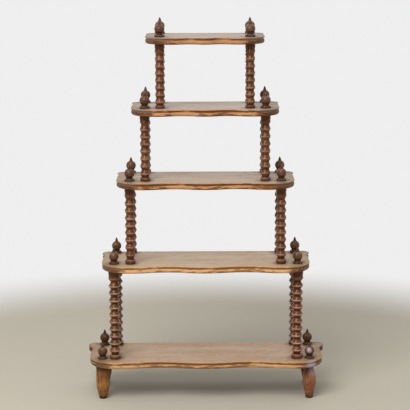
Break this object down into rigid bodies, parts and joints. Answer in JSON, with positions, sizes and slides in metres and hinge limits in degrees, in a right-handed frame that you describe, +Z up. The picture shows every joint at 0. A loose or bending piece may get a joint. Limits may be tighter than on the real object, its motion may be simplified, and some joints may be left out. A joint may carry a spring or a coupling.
{
  "type": "etagere",
  "caption": "Tall stepped wooden etagere: serpentine boards with moulded edges on bobbin-turned posts, with ball-and-spike finials and turned feet.",
  "frame": {"origin": "on the floor under the middle of the boards: midway between the left and right columns, and midway between the boards' front and back edges", "axes": "+Z up, -Y to the front, where the boards' edges are serpentine, and +X to the right as seen from the front"},
  "size_m": [0.893, 0.285, 1.392],
  "materials": {
    "board_wood": "worn dry varnish, bare and orange-brown along the front edge",
    "post_wood": "old satin varnish over dark brown stain, rubbed on the bead ridges",
    "finial_wood": "old satin varnish, nearly black brown",
    "foot_wood": "worn satin varnish, orange-brown where it is rubbed"
  },
  "bodies": {
    "root": {"shelf_1": "board_wood", "shelf_2": "board_wood", "shelf_3": "board_wood", "shelf_4": "board_wood", "shelf_5": "board_wood", "foot_front_left": "foot_wood", "foot_front_right": "foot_wood", "foot_rear_left": "foot_wood", "foot_rear_right": "foot_wood", "post_1_front_left": "post_wood", "post_1_front_right": "post_wood", "post_1_rear_left": "post_wood", "post_1_rear_right": "post_wood", "post_2_front_left": "post_wood", "post_2_front_right": "post_wood", "post_2_rear_left": "post_wood", "post_2_rear_right": "post_wood", "post_3_front_left": "post_wood", "post_3_front_right": "post_wood", "post_3_rear_left": "post_wood", "post_3_rear_right": "post_wood", "post_4_front_left": "post_wood", "post_4_front_right": "post_wood", "post_4_rear_left": "post_wood", "post_4_rear_right": "post_wood", "finial_1_front_left": "finial_wood", "finial_1_front_right": "finial_wood", "finial_1_rear_left": "finial_wood", "finial_1_rear_right": "finial_wood", "finial_2_front_left": "finial_wood", "finial_2_front_right": "finial_wood", "finial_2_rear_left": "finial_wood", "finial_2_rear_right": "finial_wood", "finial_3_front_left": "finial_wood", "finial_3_front_right": "finial_wood", "finial_3_rear_left": "finial_wood", "finial_3_rear_right": "finial_wood", "finial_4_front_left": "finial_wood", "finial_4_front_right": "finial_wood", "finial_4_rear_left": "finial_wood", "finial_4_rear_right": "finial_wood", "finial_5_front_left": "finial_wood", "finial_5_front_right": "finial_wood", "finial_5_rear_left": "finial_wood", "finial_5_rear_right": "finial_wood"}
  },
  "joints": []
}
